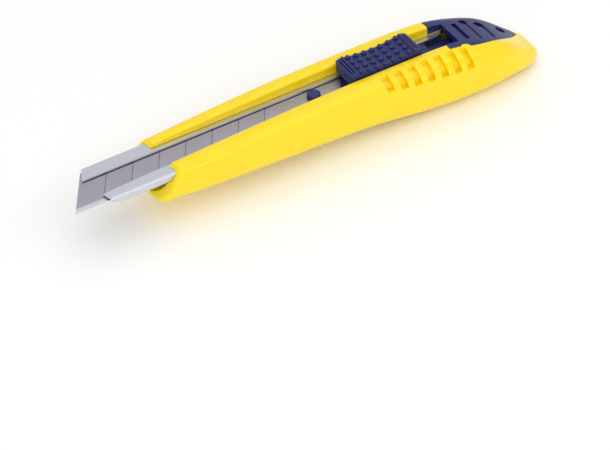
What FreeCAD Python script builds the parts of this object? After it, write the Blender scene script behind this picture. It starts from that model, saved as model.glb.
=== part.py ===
"""Snap-off utility knife with an 18 mm blade: handle, steel channel, blade, carriage, lock spring,
thumb slider and end cap.

The knife is drawn in its own datum: x from the cutting tip towards the tail, y across the blade,
z up from the blade's top face. The last lines move each piece so that the knife rests on its belly,
centred in x. Every length is in millimetres.
"""

import FreeCAD, Part
import os
from math import radians, sin, sqrt, tan

V = FreeCAD.Vector
X, Z = V(1, 0, 0), V(0, 0, 1)

# Cutting shapes run this far past what they cut.
run_out = 40.0

# ---- blade ----
blade_width = 18.0
blade_length = 100.0
blade_thickness = 0.5
score_count = 7
score_pitch = 10.0
score_angle = 60.0
score_depth = 0.12
score_width = 0.3
bevel_width = 2.0
edge_land = 0.08
blade_hole_diameter = 5.0
blade_hole_setback = 10.6

# ---- steel channel ----
sheet = 0.6
channel_bend_radius = 1.0
blade_side_clearance = 0.7
blade_over_clearance = 0.3
tongue_thickness = 0.85
tongue_under_clearance = 0.1
tongue_over_clearance = 0.05
far_lip_edge = 4.0
near_lip_edge = -5.05
near_lip_relief = 1.25
lip_relief_length = 22.0
channel_front = 11.5
channel_point = 2.7
near_lip_slant = 1.5
floor_setback = 8.5
channel_length = 137.5
channel_corner_radius = 3.0
floor_notch_length = 13.0
lip_relief_sag = 0.3

# ---- lock ----
notch_pitch = 2.5
notch_width = 1.3
notch_depth = 0.9
steps_forward = 25
steps_back = 5
pawl_width = 1.0
pawl_gap = 0.15
pawl_offset = 0.7
spring_thickness = 0.5
spring_width = 4.0
spring_foot = 4.5
spring_ramp = 2.5
spring_pad = 6.5
spring_end_gap = 0.2
pocket_spare = 5.0
press_travel = 0.8

# ---- carriage and thumb slider ----
stud_diameter = 4.7
stud_chamfer = 0.3
stud_proud = 1.6
tongue_lead = 6.5
tongue_half_width = 9.2
tongue_gap = 0.3
tail_length = 7.0
tail_half_width = 7.0
stem_length = 5.6
stem_half_width = 1.8
stem_gap = 0.05
neck_gap = 0.57
neck_length = 25.6
neck_clearance = 0.3
block_half_width = 3.4
block_height = 3.2
pocket_half_width = 2.3
pocket_depth = 4.1
slider_length = 27.9
slider_half_width = 5.7
slider_overhang = 1.2
slider_bottom = 2.1
slider_fit = 0.35
press_spare = 0.2
slider_end_height = 6.2
slider_crown_height = 7.15
slider_dish_height = 5.4
rib_block_length = 3.0
rib_groove_width = 0.45
rib_groove_depth = 0.5
rib_groove_count = 2
rib_groove_margin = 1.0
rib_step = 0.6
slider_corner_radius = 0.6
grip_stud_chamfer = 0.2
stud_rows = 4
stud_columns = 7
grip_stud_pitch = 3.17
grip_stud_diameter = 1.9
grip_stud_height = 0.75
grip_stud_root = 0.4

# ---- handle ----
handle_start = 24.0
handle_length = 156.4
mouth_x = 36.2
mouth_height = 1.5
mouth_slope = 0.8
mouth_skew = 5.5
mouth_round = 1.6
slot_half_width = 6.0
slot_edge_radius = 0.9
channel_fit = 0.1
ledge_width = 1.2
hollow_inset = 2.3
hollow_belly_radius = 7.0
tail_hollow_end = 167.0
tail_hollow_wall = 4.7
tail_hollow_radius = 3.0
rest_depth = 18.8
grip_groove_count = 7
grip_groove_pitch = 5.17
grip_groove_width = 2.8
grip_groove_depth = 1.8
grip_groove_first = 116.7
grip_groove_lean = 11.0
grip_groove_edge = 9.5
grip_groove_low = 0.2
grip_groove_drop = 3.6
grip_groove_bow = 0.7
least_radius = 0.3
hollow_sections = 14

# ---- end cap ----
cap_front = 143.8
cap_tab_half_width = 8.8
cap_notch_depth = 0.8
cap_notch_length = 2.2
cap_notch_slant = 1.1
cap_half_width = 9.2
cap_shoulder = 152.2
cap_knee = 165.4
cap_knee_side = -6.0
cap_tip = 178.2
cap_tip_side = 3.6
cap_far_half_width = 12.6
cap_far_taper = 172.2
cap_far_bow = 175.4
cap_far_bow_side = 8.4
cap_depth = 5.0
cap_bottom = -16.5
cap_skin = 2.4
cap_wall = 1.6
cap_fit = 0.15
window_end = 149.2
tray_front = 141.2
tray_thickness = 1.6
tray_gap = 0.45
tray_post = 1.6

# Grooves across the cap: distance behind the window, width, length across, depth.
cap_grooves = (
    (3.2, 1.9, 10.4, 1.6),
    (9.0, 0.7, 11.2, 0.9),
    (14.4, 1.5, 9.2, 1.2),
)

# Round pockets on the cap's far side: distance behind the window, distance across, diameter.
cap_pockets = (
    (8.6, 5.8, 2.8),
    (14.0, 4.3, 3.4),
    (22.2, 3.1, 3.6),
)
cap_pocket_depth = 1.2

hull_sections = 26

# Hull stations: share of handle_length, half width, crest z, belly z, crest radius, belly radius.
hull_stations = (
    (0.000, 12.9, 1.9, -9.6, 4.8, 6.0),
    (0.052, 13.0, 2.3, -10.6, 5.0, 7.0),
    (0.115, 13.0, 2.8, -12.1, 4.8, 8.0),
    (0.230, 13.0, 3.55, -13.2, 4.0, 8.0),
    (0.422, 13.0, 4.55, -14.5, 3.4, 8.0),
    (0.581, 13.2, 4.8, -15.9, 4.0, 8.0),
    (0.690, 13.7, 4.8, -17.9, 5.0, 8.0),
    (0.773, 13.9, 4.3, -18.8, 6.4, 8.0),
    (0.856, 13.8, 0.9, -18.9, 7.0, 8.0),
    (0.920, 12.6, -4.2, -18.5, 5.5, 7.0),
    (0.965, 10.3, -9.4, -17.8, 4.6, 3.6),
    (0.990, 8.1, -12.1, -17.3, 2.9, 2.1),
    (1.000, 6.6, -13.1, -17.0, 2.2, 1.5),
)

# ---- sizes that follow from the ones above ----
lip_top = blade_over_clearance + sheet
tongue_top = -blade_thickness - tongue_over_clearance
tongue_bottom = tongue_top - tongue_thickness
channel_floor = tongue_bottom - tongue_under_clearance
channel_bottom = channel_floor - sheet
channel_half_width = blade_width / 2 + blade_side_clearance + sheet
channel_end = channel_front + channel_length
slant = 1 / tan(radians(score_angle))
stud_x = blade_length - blade_hole_setback + blade_width / 2 * slant
neck_far = far_lip_edge - neck_clearance
neck_front = blade_length + (blade_width / 2 + neck_far) * slant + neck_gap
neck_end = neck_front + neck_length
tongue_reach = neck_end + steps_back * notch_pitch
tail_reach = tongue_reach + tail_length
pawl_x = neck_front + neck_length / 2 - pawl_offset
slider_front = neck_front - slider_overhang
slider_end = slider_front + slider_length
handle_end = handle_start + handle_length
overall_length = handle_end
# The seat is long enough for the channel and for the tongue when the blade is drawn right in.
channel_seat = max(channel_end, tongue_reach) + cap_fit * 3
pocket_floor = block_height - pocket_depth
pocket_length = spring_foot + spring_ramp + spring_pad + pocket_spare
spring_end = pawl_x + spring_pad / 2 + spring_ramp + spring_foot + spring_end_gap
pad_bottom = blade_over_clearance + (sheet - spring_thickness) / 2
pawl_tip = near_lip_edge - notch_depth + pawl_gap


def box(x0, x1, y0, y1, z0, z1):
    """Block between two corners."""
    return Part.makeBox(x1 - x0, y1 - y0, z1 - z0, V(x0, y0, z0))


def fused(shapes):
    """One solid from several that touch or overlap."""
    return shapes[0].multiFuse(shapes[1:]).removeSplitter()


def plan_prism(points, z0, z1):
    """Extrudes an outline given as (x, y) points from z0 up to z1."""
    corners = [V(x, y, z0) for x, y in points]
    return Part.Face(Part.makePolygon(corners + corners[:1])).extrude(V(0, 0, z1 - z0))


def side_prism(points, y0, y1):
    """Extrudes an outline given as (x, z) points from y0 across to y1."""
    corners = [V(x, y0, z) for x, z in points]
    return Part.Face(Part.makePolygon(corners + corners[:1])).extrude(V(0, y1 - y0, 0))


def line(a, b):
    return Part.LineSegment(a, b).toShape()


def arc(a, b, c):
    return Part.Arc(a, b, c).toShape()


def edges_along(shape, axis):
    """Straight edges parallel to an axis."""
    found = []
    for edge in shape.Edges:
        if edge.Curve.TypeId == "Part::GeomLine" and edge.tangentAt(0).cross(axis).Length < 1e-6:
            found.append(edge)
    return found


# ---- the hull: the outer shape shared by the handle and the end cap ----
def station_curve(column):
    """Smooth curve through one column of hull_stations, drawn over x."""
    curve = Part.BSplineCurve()
    curve.interpolate([V(handle_start + s[0] * handle_length, s[column], 0) for s in hull_stations])
    return curve


def height_at(curve, x):
    """Value of a station curve at x, found by halving."""
    low, high = curve.FirstParameter, curve.LastParameter
    for _ in range(40):
        middle = (low + high) / 2
        if curve.value(middle).x < x:
            low = middle
        else:
            high = middle
    return curve.value(low).y


station_curves = [station_curve(column) for column in range(1, 6)]


def crest_at(x):
    return height_at(station_curves[1], x)


def hull_section(x, inset):
    """Closed section across the handle: straight sides, a rounded crest and a rounded belly."""
    half_width, crest, belly, crest_radius, belly_radius = (height_at(c, x) for c in station_curves)
    half_width, crest, belly = half_width - inset, crest - inset, belly + inset
    crest_radius = max(least_radius, crest_radius - inset)
    belly_radius = max(least_radius, belly_radius - inset)
    bend = 1 - sqrt(0.5)
    half = (
        (half_width - crest_radius, crest),
        (half_width - crest_radius * bend, crest - crest_radius * bend),
        (half_width, crest - crest_radius),
        (half_width, belly + belly_radius),
        (half_width - belly_radius * bend, belly + belly_radius * bend),
        (half_width - belly_radius, belly),
    )
    right = [V(x, y, z) for y, z in half]
    left = [V(x, -y, z) for y, z in reversed(half)]
    edges = [line(left[-1], right[0])]
    for side, join in ((right, left[0]), (left, None)):
        edges += [arc(*side[:3]), line(side[2], side[3]), arc(*side[3:])]
        if join:
            edges.append(line(side[-1], join))
    return Part.Wire(edges)


def hull(inset=0.0):
    """The outer shape, or one a constant inset smaller all round each section."""
    xs = [handle_start + handle_length * i / hull_sections for i in range(hull_sections + 1)]
    return Part.makeLoft([hull_section(x, inset) for x in xs], True, False)


# The belly is flattened where the knife rests.
outer = hull().cut(box(0, handle_end, -run_out, run_out, -run_out, -rest_depth))


# ---- snap-off blade ----
def make_blade():
    """Parallelogram of thin steel, ground to an edge on the near side and scored across its top."""
    half = blade_width / 2
    lean = blade_width * slant
    outline = ((0, -half), (blade_length, -half), (blade_length + lean, half), (lean, half))
    blade = plan_prism(outline, -blade_thickness, 0)
    land = edge_land / 2
    middle = -blade_thickness / 2
    for side, face in ((1, 0.0), (-1, -blade_thickness)):
        corners = [
            V(-run_out, -half - 1, face + side),
            V(-run_out, -half + bevel_width, face),
            V(-run_out, -half, middle + side * land),
            V(-run_out, -half - 1, middle + side * land),
        ]
        wedge = Part.Face(Part.makePolygon(corners + corners[:1]))
        blade = blade.cut(wedge.extrude(V(blade_length + lean + 2 * run_out, 0, 0)))
    for i in range(1, score_count + 1):
        x = i * score_pitch
        ends = ((x, -half), (x + score_width, -half), (x + score_width + lean, half), (x + lean, half))
        blade = blade.cut(plan_prism(ends, -score_depth, 1))
    hole = Part.makeCylinder(blade_hole_diameter / 2, 2 * run_out, V(stud_x, 0, -run_out))
    return blade.cut(hole)


# ---- steel channel ----
def make_channel():
    """Folded strip: a floor, two walls and two lips that hold the blade down."""
    half, inner = channel_half_width, channel_half_width - sheet
    bar = box(0, channel_end, -half, half, channel_bottom, lip_top)
    bar = bar.makeFillet(channel_bend_radius, edges_along(bar, X))
    core = box(0, channel_end + 1, -inner, inner, channel_floor, blade_over_clearance)
    core = core.makeFillet(channel_bend_radius - sheet, edges_along(core, X))
    slot = box(0, channel_end + 1, near_lip_edge, far_lip_edge, 0, lip_top + 1)
    channel = bar.cut(core).cut(slot)
    # The near lip is relieved towards the front, so that more of the blade shows.
    relief_end = channel_front + lip_relief_length
    deep = near_lip_edge - near_lip_relief
    a = V(channel_front - 1, deep, 0)
    b = V((channel_front + relief_end) / 2, near_lip_edge - near_lip_relief * lip_relief_sag, 0)
    c = V(relief_end, near_lip_edge, 0)
    d = V(relief_end, 0, 0)
    e = V(channel_front - 1, 0, 0)
    relief = Part.Face(Part.Wire([arc(a, b, c), line(c, d), line(d, e), line(e, a)]))
    channel = channel.cut(relief.extrude(V(0, 0, run_out)))
    # The lips' front ends slant with the blade's end; the floor starts further back.
    nose = (
        (-1, half + 1),
        (channel_front, half + 1),
        (channel_front, half),
        (channel_front - channel_point, far_lip_edge),
        (channel_front, deep),
        (channel_front + near_lip_slant, -half),
        (channel_front + near_lip_slant, -half - 1),
        (-1, -half - 1),
    )
    channel = channel.cut(plan_prism(nose, -run_out, run_out))
    chin = (
        (-1, channel_bottom - 1),
        (channel_front + floor_setback, channel_bottom - 1),
        (channel_front + floor_setback, channel_bottom),
        (channel_front + near_lip_slant, -blade_thickness),
        (-1, -blade_thickness),
    )
    channel = channel.cut(side_prism(chin, -half - 1, half + 1))
    # The floor is notched at the rear for the end cap's tray.
    notch_start = channel_end - floor_notch_length
    channel = channel.cut(box(notch_start, channel_end + 1, near_lip_edge, far_lip_edge, -run_out, 0))
    for edge, side in ((near_lip_edge, -1), (far_lip_edge, 1)):
        channel = channel.cut(corner_cutter(channel_end, edge, side))
    for i in range(-steps_forward, steps_back + 1):
        x = pawl_x + i * notch_pitch
        start, deep = x - notch_width / 2, near_lip_edge - notch_depth
        channel = channel.cut(box(start, start + notch_width, deep, near_lip_edge + 1, 0, lip_top + 1))
    return channel


def corner_cutter(x, y, side):
    """Removes a lip's inner rear corner and leaves a round one."""
    r = channel_corner_radius
    k = r * (1 - sqrt(0.5))
    a, b, c = V(x, y + side * r, 0), V(x - k, y + side * k, 0), V(x - r, y, 0)
    corners = [c, V(x - r, y - side, 0), V(x + 1, y - side, 0), V(x + 1, y + side * r, 0), a]
    edges = [arc(a, b, c)] + [line(p, q) for p, q in zip(corners, corners[1:])]
    return Part.Face(Part.Wire(edges)).extrude(V(0, 0, run_out))


# ---- blade carriage ----
def make_carriage():
    """Tongue under the blade with its stud, a neck between the lips and a block for the slider."""
    wide = tongue_half_width
    tongue = box(stud_x - tongue_lead, neck_end, -wide, wide, tongue_bottom, tongue_top)
    tail = blade_length + blade_width / 2 * slant + tongue_gap
    lean = wide * slant
    heel_outline = ((tail - lean, -wide), (neck_end, -wide), (neck_end, wide), (tail + lean, wide))
    heel_top = blade_over_clearance - tongue_gap / 2
    heel = plan_prism(heel_outline, tongue_bottom, heel_top)
    stud = Part.makeCylinder(stud_diameter / 2, stud_proud - tongue_bottom, V(stud_x, 0, tongue_bottom))
    top_rim = [e for e in stud.Edges if abs(e.BoundBox.ZMin - stud_proud) < 1e-6]
    stud = stud.makeChamfer(stud_chamfer, top_rim)
    near = near_lip_edge + neck_clearance
    neck = box(neck_front, neck_end, near, neck_far, tongue_bottom, lip_top + neck_clearance)
    block = box(neck_front, neck_end, -block_half_width, block_half_width, 0, block_height)
    wide, rear = tail_half_width, neck_end + tail_length
    tail_bar = box(neck_end, rear, -wide, wide, tongue_bottom, heel_top)
    carriage = fused([tongue, heel, tail_bar, stud, neck, block])
    wide, front = pocket_half_width, spring_end - pocket_length
    pocket = box(front, spring_end, -wide, wide, pocket_floor, block_height + 1)
    reach = pawl_width / 2 + pawl_gap * 2
    low = blade_over_clearance - press_travel - spring_thickness
    passage = box(pawl_x - reach, pawl_x + reach, pawl_tip - pawl_gap, 0, low, run_out)
    block_above = box(neck_front, neck_end, -block_half_width, 0, lip_top + neck_clearance, run_out)
    return carriage.cut(pocket).cut(passage.cut(block_above))


# ---- lock spring ----
def make_spring():
    """Steel leaf: a foot on the pocket floor, a ramp, a pad under the slider's stem and the pawl."""
    pad_end = pawl_x + spring_pad / 2
    foot_start = pad_end + spring_ramp
    t = spring_thickness
    outline = (
        (pad_end - spring_pad, pad_bottom),
        (pad_end, pad_bottom),
        (foot_start, pocket_floor),
        (foot_start + spring_foot, pocket_floor),
        (foot_start + spring_foot, pocket_floor + t),
        (foot_start + t / 2, pocket_floor + t),
        (pad_end + t / 2, pad_bottom + t),
        (pad_end - spring_pad, pad_bottom + t),
    )
    leaf = side_prism(outline, -spring_width / 2, spring_width / 2)
    half = pawl_width / 2
    pawl = box(pawl_x - half, pawl_x + half, pawl_tip, 0, pad_bottom, pad_bottom + t)
    return fused([leaf, pawl])


# ---- thumb slider ----
def dish_height(x):
    """Height of the hollowed thumb rest between the two rib blocks."""
    half_chord = slider_length / 2 - rib_block_length
    sag = slider_crown_height - rib_step - slider_dish_height
    radius = (half_chord**2 + sag**2) / (2 * sag)
    offset = x - (slider_front + slider_length / 2)
    return slider_dish_height + radius - sqrt(radius**2 - offset**2)


def make_slider():
    """Thumb piece: two ribbed blocks with a hollowed, studded rest between them, and a stem below."""
    y = slider_half_width
    x0, x3 = slider_front, slider_end
    x1, x2 = x0 + rib_block_length, x3 - rib_block_length
    step = slider_crown_height - rib_step
    points = [
        V(x1, -y, step),
        V(x1, -y, slider_crown_height),
        V(x0, -y, slider_end_height),
        V(x0, -y, slider_bottom),
        V(x3, -y, slider_bottom),
        V(x3, -y, slider_end_height),
        V(x2, -y, slider_crown_height),
        V(x2, -y, step),
    ]
    dish = arc(points[-1], V((x1 + x2) / 2, -y, slider_dish_height), points[0])
    sides = [line(a, b) for a, b in zip(points, points[1:])]
    slider = Part.Face(Part.Wire(sides + [dish])).extrude(V(0, 2 * y, 0))
    corners = [e for e in edges_along(slider, Z) if e.BoundBox.ZMin < slider_bottom + slider_corner_radius]
    slider = slider.makeFillet(slider_corner_radius, corners)
    for i in range(rib_groove_count):
        offset = rib_block_length * (i + 1) / (rib_groove_count + 1)
        for x in (x0 + offset, x3 - offset):
            rise = slider_crown_height - slider_end_height
            low = slider_end_height + rise * offset / rib_block_length - rib_groove_depth
            half, length = rib_groove_width / 2, y - rib_groove_margin
            slider = slider.cut(box(x - half, x + half, -length, length, low, run_out))
    studs = []
    for column in range(stud_columns):
        x = (x0 + x3) / 2 + (column - (stud_columns - 1) / 2) * grip_stud_pitch
        for row in range(stud_rows):
            height = grip_stud_height + grip_stud_root
            root = V(x, (row - (stud_rows - 1) / 2) * grip_stud_pitch, dish_height(x) - grip_stud_root)
            stud = Part.makeCylinder(grip_stud_diameter / 2, height, root)
            rim = [e for e in stud.Edges if e.BoundBox.ZMin > root.z + height / 2]
            studs.append(stud.makeChamfer(grip_stud_chamfer, rim))
    slider = fused([slider] + studs)
    hollow = block_half_width + slider_fit
    ceiling = block_height + press_travel + press_spare
    slider = slider.cut(box(neck_front - slider_fit, neck_end + slider_fit, -hollow, hollow, 0, ceiling))
    wide, half = stem_half_width, stem_length / 2
    stem_base = pad_bottom + spring_thickness + stem_gap
    stem = box(pawl_x - half, pawl_x + half, -wide, wide, stem_base, ceiling)
    return fused([slider, stem])


# ---- end cap ----
def cap_outline(grow):
    """Plan of the cap: tabs beside the slot, a notch in the near edge, then a taper to the tip."""
    front, tab = cap_front - grow, -cap_tab_half_width - grow
    near, far = -cap_half_width - grow, cap_far_half_width + grow
    notch_end = cap_shoulder - cap_notch_slant
    notch_start = notch_end - cap_notch_length
    corners = [
        V(cap_far_taper, far, 0),
        V(front, far, 0),
        V(front, tab, 0),
        V(notch_start - cap_notch_slant + grow, tab, 0),
        V(notch_start + grow, tab + cap_notch_depth, 0),
        V(notch_end - grow, tab + cap_notch_depth, 0),
        V(cap_shoulder - grow, near, 0),
    ]
    edges = [line(a, b) for a, b in zip(corners, corners[1:])]
    tip = V(cap_tip + grow, cap_tip_side, 0)
    edges.append(arc(corners[-1], V(cap_knee, cap_knee_side - grow, 0), tip))
    edges.append(arc(tip, V(cap_far_bow, cap_far_bow_side + grow, 0), corners[0]))
    return Part.Wire(edges)


def cap_space(grow):
    """Room the cap takes in the hull: a lid of even depth that clears the channel's end."""
    outline = cap_outline(grow)
    outline.translate(V(0, 0, -run_out))
    below = outer.copy()
    below.translate(V(0, 0, -cap_depth - grow))
    space = Part.Face(outline).extrude(V(0, 0, 2 * run_out)).cut(below)
    over_lips = lip_top + channel_fit + cap_fit * 2 - grow
    space = space.cut(box(0, channel_seat - grow, -run_out, run_out, -run_out, over_lips))
    return space.cut(box(0, handle_end, -run_out, run_out, -run_out, cap_bottom - grow))


def make_cap():
    """Lid that closes the tail: tabs beside the slot, grip grooves across, hollow underneath."""
    cap = outer.common(cap_space(0))
    cap = cap.cut(box(0, window_end, -slot_half_width, slot_half_width, lip_top, run_out))
    inside = outer.copy()
    inside.translate(V(0, 0, -cap_skin))
    outline = cap_outline(-cap_wall)
    outline.translate(V(0, 0, -rest_depth))
    room = Part.Face(outline).extrude(V(0, 0, 2 * run_out)).common(inside)
    room = room.common(box(window_end + cap_wall, handle_end, -run_out, run_out, -run_out, run_out))
    cap = cap.cut(room)
    # Behind the window a passage lets the carriage's tail through when the blade is drawn in.
    passage = tail_half_width + neck_clearance * 2
    ceiling = blade_over_clearance + cap_fit
    cap = cap.cut(box(0, tail_reach + cap_fit * 2, -passage, passage, -run_out, ceiling))
    for offset, width, length, depth in cap_grooves:
        x = window_end + offset
        cap = cap.cut(box(x, x + width, -length / 2, length / 2, crest_at(x) - depth, run_out))
    skin = outer.copy()
    skin.translate(V(0, 0, -cap_pocket_depth))
    for offset, side, diameter in cap_pockets:
        root = V(window_end + offset, side, crest_at(window_end + offset) - cap_skin)
        cap = cap.cut(Part.makeCylinder(diameter / 2, run_out, root).cut(skin))
    # A tray below the carriage's path closes the notch in the channel's floor.
    top = tongue_bottom - neck_clearance
    bottom = top - tray_thickness
    near, far = near_lip_edge + tray_gap, far_lip_edge - tray_gap
    rear = tail_reach + tray_gap + tray_post
    tray = box(tray_front, rear, near, far, bottom, top)
    post = box(rear - tray_post, rear, near, far, bottom, crest_at(rear) - cap_skin / 2)
    return fused([cap, tray, post])


# ---- handle ----
def open_mouth(shape):
    """Cuts the front off along a sloping, slightly skewed plane and rounds the rim."""
    reach = 2 * run_out
    top, low = (V(mouth_x + mouth_slope * (z - mouth_height), 0, z) for z in (run_out, -run_out))
    points = ((top.x, top.z), (-reach, top.z), (-reach, low.z), (low.x, low.z))
    cutter = side_prism(points, -run_out, run_out)
    cutter.rotate(V(mouth_x, 0, 0), Z, mouth_skew)
    shape = shape.cut(cutter)
    normal = (V(0, 1, 0).cross(top - low)).normalize()
    normal = FreeCAD.Rotation(Z, mouth_skew).multVec(normal)
    origin = V(mouth_x, 0, mouth_height)
    rim = [e for e in shape.Edges if all(abs((p - origin).dot(normal)) < 1e-4 for p in e.discretize(5))]
    return shape.makeFillet(mouth_round, rim)


def slot_section(x):
    """Section of the slot: upright sides that round over into the crest."""
    half, r, crest = slot_half_width, slot_edge_radius, crest_at(x)
    k = r * (1 - sqrt(0.5))
    overlap = r / 20
    base, lip = crest - r + overlap, crest + overlap
    right = [V(x, half, 0), V(x, half, base), V(x, half + k, lip - k), V(x, half + r, lip)]
    right.append(V(x, half + r, lip + 1))
    left = [V(x, -p.y, p.z) for p in reversed(right)]
    edges = [line(right[0], right[1]), arc(*right[1:4]), line(right[3], right[4]), line(right[4], left[0])]
    edges += [line(left[0], left[1]), arc(*left[1:4]), line(left[3], left[4]), line(left[4], right[0])]
    return Part.Wire(edges)


def hollow_section(x, half, top, r):
    """Section of the space inside: a flat top and a floor with corners of radius r."""
    floor = height_at(station_curves[2], x) + hollow_inset
    k = r * (1 - sqrt(0.5))
    right = [V(x, half, top), V(x, half, floor + r), V(x, half - k, floor + k), V(x, half - r, floor)]
    left = [V(x, -p.y, p.z) for p in reversed(right)]
    edges = [line(left[-1], right[0]), line(right[0], right[1]), arc(*right[1:]), line(right[3], left[0])]
    edges += [arc(*left[:3]), line(left[2], left[3])]
    return Part.Wire(edges)


def hollows():
    """The space below the channel, and the one in the tail below the end cap."""
    count, half, r = hollow_sections, channel_half_width - ledge_width, hollow_belly_radius
    xs = [handle_start + (channel_seat - handle_start) * i / count for i in range(count + 1)]
    below = Part.makeLoft([hollow_section(x, half, channel_bottom, r) for x in xs], True, False)
    sections = []
    for i in range(count + 1):
        x = channel_seat + (tail_hollow_end - channel_seat) * i / count
        half = height_at(station_curves[0], x) - tail_hollow_wall
        top = crest_at(x) - cap_depth + cap_skin / 2
        sections.append(hollow_section(x, half, top, tail_hollow_radius))
    return below, Part.makeLoft(sections, True, False)


def grip_grooves():
    """Slots of even depth that lean down the near shoulder."""
    core = hull(grip_groove_depth)
    cutters = []
    lean = tan(radians(grip_groove_lean))
    half = grip_groove_width / 2
    for i in range(grip_groove_count):
        x = grip_groove_first + i * grip_groove_pitch
        low = grip_groove_low - grip_groove_drop * (i / (grip_groove_count - 1)) ** grip_groove_bow
        crest = crest_at(x)
        above, below = x - crest * lean, x + (crest - low) * lean
        top = 2 * crest
        shape = ((above - half, top), (above + half, top), (below + half, low), (below - half, low))
        cutters.append(side_prism(shape, -grip_groove_edge, -run_out).cut(core))
    return cutters


def make_handle():
    """Moulded grip: slot along the top, seat for the channel, hollow below it, seat for the cap."""
    handle = open_mouth(outer)
    start, count = handle_start, hollow_sections
    slot_xs = [start + (cap_shoulder - start) * i / count for i in range(count + 1)]
    handle = handle.cut(Part.makeLoft([slot_section(x) for x in slot_xs], True, False))
    half = channel_half_width + channel_fit
    seat = box(0, channel_seat, -half, half, channel_bottom - channel_fit, lip_top + channel_fit)
    handle = handle.cut(seat.makeFillet(channel_bend_radius, edges_along(seat, X)))
    for cutter in (*hollows(), cap_space(cap_fit), *grip_grooves()):
        handle = handle.cut(cutter)
    return handle


parts = {
    "snap_off_blade": make_blade(),
    "blade_channel": make_channel(),
    "blade_carriage": make_carriage(),
    "lock_spring": make_spring(),
    "thumb_slider": make_slider(),
    "end_cap": make_cap(),
    "handle": make_handle(),
}

os.makedirs("parts", exist_ok=True)
for name, shape in parts.items():
    shape.translate(V(-overall_length / 2, 0, rest_depth))
    shape.exportStep("parts/" + name + ".step")
    print(name, shape.isValid(), len(shape.Solids), round(shape.Volume, 1))
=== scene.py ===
# %% [markdown]
# # A snap-off utility knife
# The knife is a handful of mouldings and pressings: a glossy yellow handle, a folded steel channel, a
# scored blade, and a navy carriage, thumb slider and end cap. Every solid piece comes from the packed
# model with its true shape and place, so this lesson is about finishes, light and the camera. A new
# mesh for each piece would only risk drifting from the sizes that make the knife work.

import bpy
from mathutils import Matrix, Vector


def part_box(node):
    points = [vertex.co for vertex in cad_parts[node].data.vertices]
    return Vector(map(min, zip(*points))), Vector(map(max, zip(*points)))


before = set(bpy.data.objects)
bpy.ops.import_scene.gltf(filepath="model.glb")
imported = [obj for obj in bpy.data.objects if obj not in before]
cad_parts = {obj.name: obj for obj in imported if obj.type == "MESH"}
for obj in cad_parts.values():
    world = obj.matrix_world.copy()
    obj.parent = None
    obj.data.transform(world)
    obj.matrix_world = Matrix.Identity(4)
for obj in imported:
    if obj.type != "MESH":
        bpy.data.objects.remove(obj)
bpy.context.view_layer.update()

# %% [markdown]
# ## Smooth curves and crisp folds
# A CAD mesh arrives with one patch of triangles for each face, so neighbouring patches share no
# vertices and a rounded edge can look creased. Welding the patches and then smoothing only the gentle
# angles gives soft mouldings with crisp corners. Both are modifiers, which leave the mesh itself alone.

# %% Weld the patches and smooth the gentle angles
from math import cos, radians, sin

import bpy
from mathutils import Matrix, Vector

MM = 0.001
WELD_GAP = 0.002 * MM
SMOOTH_BELOW = radians(32)


def smooth_gentle_angles(node):
    """Welds a node's patches and shades it smooth except across sharp corners."""
    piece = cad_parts[node]
    weld = piece.modifiers.new("weld", "WELD")
    weld.merge_threshold = WELD_GAP
    for polygon in piece.data.polygons:
        polygon.use_smooth = True
    split = piece.modifiers.new("crisp corners", "EDGE_SPLIT")
    split.split_angle = SMOOTH_BELOW
    split.use_edge_sharp = False
    return piece


for node in sorted(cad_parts):
    piece = smooth_gentle_angles(node)
    print(node, len(piece.data.vertices), "vertices")

# %% [markdown]
# ## Colour
# Finishes are given as sRGB hex values, but a shader mixes light in linear values. One
# function does the change for every colour in the lesson.

# %% Turn a hex colour into linear values


def linear(hex_colour):
    """RGBA in linear light from a colour such as #ffd400."""
    channels = [int(hex_colour[i : i + 2], 16) / 255 for i in (1, 3, 5)]
    return [c / 12.92 if c <= 0.04045 else ((c + 0.055) / 1.055) ** 2.4 for c in channels] + [1.0]


print("handle yellow in linear light", [round(c, 3) for c in linear("#ffdc00")])

# %% [markdown]
# ## Building node trees
# A finish is a small graph of shader nodes. One helper adds a node with its settings and links, so
# each material below reads as a list of what the surface does.

# %% Start a material, and add a node to it


def start_material(name, **settings):
    """A material with one Principled shader whose sockets are set by name."""
    material = bpy.data.materials.new(name)
    material.use_nodes = True
    tree = material.node_tree
    shader = tree.nodes["Principled BSDF"]
    for socket, value in settings.items():
        shader.inputs[socket.replace("_", " ")].default_value = value
    return material, tree, shader


def add(tree, kind, inputs=None, to=None, output=0, **settings):
    """Adds a node. inputs gives sockets a value or another node's output, and to is where it leads."""
    node = tree.nodes.new("ShaderNode" + kind)
    for name, value in settings.items():
        setattr(node, name, value)
    for name, value in (inputs or {}).items():
        if isinstance(value, bpy.types.NodeSocket):
            tree.links.new(value, node.inputs[name])
        else:
            node.inputs[name].default_value = value
    if to is not None:
        tree.links.new(node.outputs[output], to)
    return node


def place(tree):
    """The piece's own coordinates, in metres."""
    return add(tree, "TexCoord").outputs["Object"]


def wear(material, *nodes):
    """Puts a material on CAD nodes."""
    for name in nodes:
        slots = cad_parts[name].data.materials
        slots.clear()
        slots.append(material)
    print(material.name, "on", ", ".join(nodes))


# %% [markdown]
# ## Handle: glossy moulded plastic
# The handle is ABS, injected into a polished mould. That leaves a clear gloss with soft highlights, and
# a faint waviness where the plastic shrank as it cooled. Pigmented ABS lets a little light in, so thin
# edges and grooves turn warmer. It could be a flat yellow with a clear coat, but subsurface light and
# two scales of noise give the warm shade and the slightly uneven shine of the real thing.

# %% Yellow ABS, moulded glossy
abs_yellow, tree, shader = start_material(
    "yellow ABS, moulded in a polished tool",
    Roughness=0.2,
    IOR=1.54,
    Subsurface_Weight=0.12,
    Subsurface_Scale=1.2 * MM,
)
shader.inputs["Subsurface Radius"].default_value = (1.0, 0.55, 0.05)
coordinates = place(tree)
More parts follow.
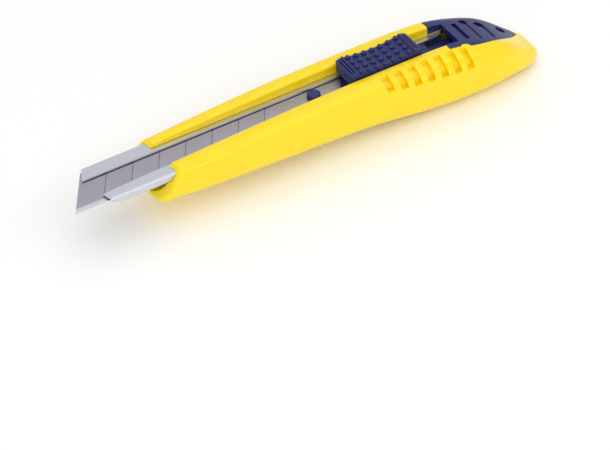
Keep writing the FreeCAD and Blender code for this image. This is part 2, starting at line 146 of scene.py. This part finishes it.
# Sink marks: waves about 12 mm long and a few hundredths of a millimetre deep.
SINK_LENGTH = 12 * MM
sink = add(tree, "TexNoise", {"Vector": coordinates, "Scale": 1 / SINK_LENGTH, "Detail": 1.0})
# Fine orange peel: real peel is under 0.2 mm across, drawn here at 0.6 mm so that it shows.
PEEL_LENGTH = 0.6 * MM
peel = add(tree, "TexNoise", {"Vector": coordinates, "Scale": 1 / PEEL_LENGTH, "Detail": 2.0})
broad = add(tree, "Bump", {"Height": sink.outputs["Fac"], "Distance": 0.06 * MM, "Strength": 1.0})
fine_inputs = {"Height": peel.outputs["Fac"], "Normal": broad.outputs["Normal"]}
fine_inputs |= {"Distance": 0.004 * MM, "Strength": 0.5}
add(tree, "Bump", fine_inputs, to=shader.inputs["Normal"])
# Pigment is never perfectly even: the yellow drifts a little between two mixes.
tint = add(tree, "Mix", {"Factor": sink.outputs["Fac"]}, data_type="RGBA")
tint.inputs["A"].default_value = linear("#ffd800")
tint.inputs["B"].default_value = linear("#ffe400")
tree.links.new(tint.outputs["Result"], shader.inputs["Base Color"])
wear(abs_yellow, "handle")

# %% [markdown]
# ## Slider, carriage and cap: satin moulded plastic
# These are a harder plastic in navy, moulded in a tool with a fine spark-eroded texture. The texture
# scatters the highlight, so lit faces read as a greyish blue and faces turned away go nearly black. A
# plain high roughness would look like rubber, so the grain is a real bump with medium roughness.

# %% Navy polypropylene, moulded satin
navy_plastic, tree, shader = start_material(
    "navy polypropylene, moulded satin",
    Roughness=0.42,
    IOR=1.49,
)
coordinates = place(tree)
# Spark texture: real grains are near 0.1 mm, drawn at 0.35 mm so that they show.
GRAIN_LENGTH = 0.35 * MM
grain = add(tree, "TexNoise", {"Vector": coordinates, "Scale": 1 / GRAIN_LENGTH, "Detail": 3.0})
add(
    tree,
    "Bump",
    {"Height": grain.outputs["Fac"], "Distance": 0.02 * MM, "Strength": 0.6},
    to=shader.inputs["Normal"],
)
# Handling polishes some patches: the roughness and colour drift over about 9 mm.
HANDLED_LENGTH = 9 * MM
handled = add(tree, "TexNoise", {"Vector": coordinates, "Scale": 1 / HANDLED_LENGTH, "Detail": 3.0})
polish = add(tree, "MapRange", {"Value": handled.outputs["Fac"], "To Min": 0.34, "To Max": 0.50})
tree.links.new(polish.outputs["Result"], shader.inputs["Roughness"])
tint = add(tree, "Mix", {"Factor": handled.outputs["Fac"]}, data_type="RGBA")
tint.inputs["A"].default_value = linear("#171f5c")
tint.inputs["B"].default_value = linear("#1f2868")
tree.links.new(tint.outputs["Result"], shader.inputs["Base Color"])
wear(navy_plastic, "thumb_slider", "blade_carriage", "end_cap")

# %% [markdown]
# ## Blade: ground carbon steel
# The blade is rolled strip, ground flat across its width, then ground again and polished along one
# edge. The flat is a soft lilac grey with lines across it, and the bevel is finer and brighter. The
# bevel has its own slope in the mesh, so the shader only needs to know how near the edge it is.

# %% Ground carbon steel, with a polished bevel
BLADE_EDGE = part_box("snap_off_blade")[0].y
BEVEL_WIDTH = 2.0 * MM
BEVEL_BLEND = 0.1 * MM
blade_steel, tree, shader = start_material("carbon steel, ground and polished at the edge", Metallic=1.0)
coordinates = place(tree)
across = add(tree, "SeparateXYZ", {"Vector": coordinates})
bevel_limits = {"Value": across.outputs["Y"], "From Min": BLADE_EDGE + BEVEL_WIDTH}
bevel_limits |= {"From Max": BLADE_EDGE + BEVEL_WIDTH + BEVEL_BLEND}
flat_share = add(tree, "MapRange", bevel_limits)
# The scores are pressed, not ground, and their floors lie a set depth below the top. Painted shade:
# the floors take a darker steel colour that stands in for the shade in the grooves.
SCORE_DEPTH = 0.12 * MM
SCORE_REACH = 0.04 * MM
SCORE_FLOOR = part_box("snap_off_blade")[1].z - SCORE_DEPTH
level_inputs = {0: across.outputs["Z"], 1: SCORE_FLOOR, 2: SCORE_REACH}
at_floor = add(tree, "Math", level_inputs, operation="COMPARE")
score_shade_mask_inputs = {0: at_floor.outputs[0], 1: flat_share.outputs["Result"]}
score_shade_mask = add(tree, "Math", score_shade_mask_inputs, operation="MULTIPLY")
# Grinding lines run across the blade: 0.08 mm apart in truth, drawn at 0.3 mm so that they show.
LINE_SPACING = 0.3 * MM
stretched = add(tree, "Mapping", {"Vector": coordinates, "Scale": (1.0, 0.03, 1.0)})
lines = add(
    tree,
    "TexNoise",
    {"Vector": stretched.outputs["Vector"], "Scale": 1 / LINE_SPACING, "Detail": 4.0},
)
add(
    tree,
    "Bump",
    {"Height": lines.outputs["Fac"], "Distance": 0.004 * MM, "Strength": 0.5},
    to=shader.inputs["Normal"],
)
shine = add(tree, "MapRange", {"Value": lines.outputs["Fac"], "To Min": 0.30, "To Max": 0.42})
mixed = add(tree, "Mix", {"Factor": flat_share.outputs["Result"], "A": 0.22}, data_type="FLOAT")
tree.links.new(shine.outputs["Result"], mixed.inputs["B"])
tree.links.new(mixed.outputs["Result"], shader.inputs["Roughness"])
steel = add(tree, "Mix", {"Factor": flat_share.outputs["Result"]}, data_type="RGBA")
steel.inputs["A"].default_value = linear("#d2d8de")
steel.inputs["B"].default_value = linear("#aeabb8")
# Painted shade: the score floors get a darker steel colour in place of the shade in the grooves.
steel_with_score_shade = add(tree, "Mix", {"Factor": score_shade_mask.outputs[0]}, data_type="RGBA")
tree.links.new(steel.outputs["Result"], steel_with_score_shade.inputs["A"])
steel_with_score_shade.inputs["B"].default_value = linear("#74737c")
tree.links.new(steel_with_score_shade.outputs["Result"], shader.inputs["Base Color"])
wear(blade_steel, "snap_off_blade")

# %% [markdown]
# ## Channel and spring: bright sheet steel
# The channel is folded from bright zinc-plated strip. Rolling leaves long fine lines along the strip,
# so the shine streaks lengthwise. A plain grey metal would look cast, so a stretched noise carries the
# lines into the roughness and into a very shallow bump.

# %% Bright sheet steel, rolled and folded
sheet_steel, tree, shader = start_material("zinc-plated sheet steel, rolled", Metallic=1.0)
shader.inputs["Base Color"].default_value = linear("#d2d5de")
coordinates = place(tree)
# Rolling lines: 0.05 mm apart in truth, drawn at 0.25 mm so that they show.
ROLL_SPACING = 0.25 * MM
stretched = add(tree, "Mapping", {"Vector": coordinates, "Scale": (0.02, 1.0, 1.0)})
rolled = add(
    tree,
    "TexNoise",
    {"Vector": stretched.outputs["Vector"], "Scale": 1 / ROLL_SPACING, "Detail": 4.0},
)
shine = add(tree, "MapRange", {"Value": rolled.outputs["Fac"], "To Min": 0.32, "To Max": 0.42})
tree.links.new(shine.outputs["Result"], shader.inputs["Roughness"])
add(
    tree,
    "Bump",
    {"Height": rolled.outputs["Fac"], "Distance": 0.002 * MM, "Strength": 0.3},
    to=shader.inputs["Normal"],
)
wear(sheet_steel, "blade_channel", "lock_spring")

# %% [markdown]
# ## Camera
# The knife is seen from above its near side, blade to the left, with a long lens so that the far end
# hardly shrinks. The camera sits at a set azimuth, elevation and roll about the knife.

# %% Place the camera
AZIMUTH, ELEVATION, ROLL = radians(-25.91), radians(40.50), radians(-5.68)
blade_low, blade_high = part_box("snap_off_blade")
CUTTING_TIP = Vector((blade_low.x, 0, blade_high.z))
FROM_THE_TIP = Vector((-217.02, -624.82, 539.75)) * MM
CAMERA_AT = CUTTING_TIP + FROM_THE_TIP
back = Vector((sin(AZIMUTH) * cos(ELEVATION), -cos(AZIMUTH) * cos(ELEVATION), sin(ELEVATION)))
level = Vector((cos(AZIMUTH), sin(AZIMUTH), 0))
upright = back.cross(level)
right = level * cos(ROLL) + upright * sin(ROLL)
up = upright * cos(ROLL) - level * sin(ROLL)
camera = bpy.data.objects.new("camera", bpy.data.cameras.new("camera"))
bpy.context.scene.collection.objects.link(camera)
camera.matrix_world = Matrix.Translation(CAMERA_AT) @ Matrix((right, up, back)).transposed().to_4x4()
camera.data.sensor_width = 36.0
camera.data.lens = 153.27
camera.data.clip_start = 0.01
bpy.context.scene.camera = camera
print("camera at", [round(c, 3) for c in CAMERA_AT])

# %% [markdown]
# ## Floor and light
# A pale sweep and large soft panels are how a catalogue lights glossy plastic: broad highlights along
# the crest, soft shade below. The panels are emitting rectangles high above, and the world fills in.

# %% Floor, panels and world
floor_mesh = bpy.data.meshes.new("floor")
FLOOR_HALF = 3.0
corners = [(-FLOOR_HALF, -FLOOR_HALF, 0), (FLOOR_HALF, -FLOOR_HALF, 0)]
corners += [(FLOOR_HALF, FLOOR_HALF, 0), (-FLOOR_HALF, FLOOR_HALF, 0)]
floor_mesh.from_pydata(corners, [], [(0, 1, 2, 3)])
floor = bpy.data.objects.new("floor", floor_mesh)
bpy.context.scene.collection.objects.link(floor)
paper, tree, shader = start_material("white paper sweep, matt", Roughness=0.9)
shader.inputs["Base Color"].default_value = linear("#ffffff")
floor_mesh.materials.append(paper)


def soft_panel(name, at, size, watts, depth=None):
    """A soft light that faces the knife, square unless a depth is given."""
    light = bpy.data.lights.new(name, "AREA")
    light.energy = watts
    light.shape = "RECTANGLE"
    light.size = size
    light.size_y = depth or size
    lamp = bpy.data.objects.new(name, light)
    lamp.location = at
    lamp.rotation_euler = (-Vector(at)).to_track_quat("-Z", "Y").to_euler()
    bpy.context.scene.collection.objects.link(lamp)
    print(name, watts, "W")


# The strip stands where the near shoulder mirrors it, and nothing stands where the flat steel would.
soft_panel("overhead", (0.0, 0.0, 0.9), 1.4, 2.6)
soft_panel("front_left", (-0.5, -0.8, 0.45), 0.8, 1.4)
soft_panel("shoulder_strip", (0.3, -0.66, 0.56), 1.2, 1.0, depth=0.14)
world = bpy.data.worlds.new("studio")
world.use_nodes = True
bpy.context.scene.world = world
backdrop = world.node_tree.nodes["Background"]
backdrop.inputs["Color"].default_value = linear("#ffffff")
backdrop.inputs["Strength"].default_value = 0.73
bpy.context.scene.view_settings.view_transform = "Standard"
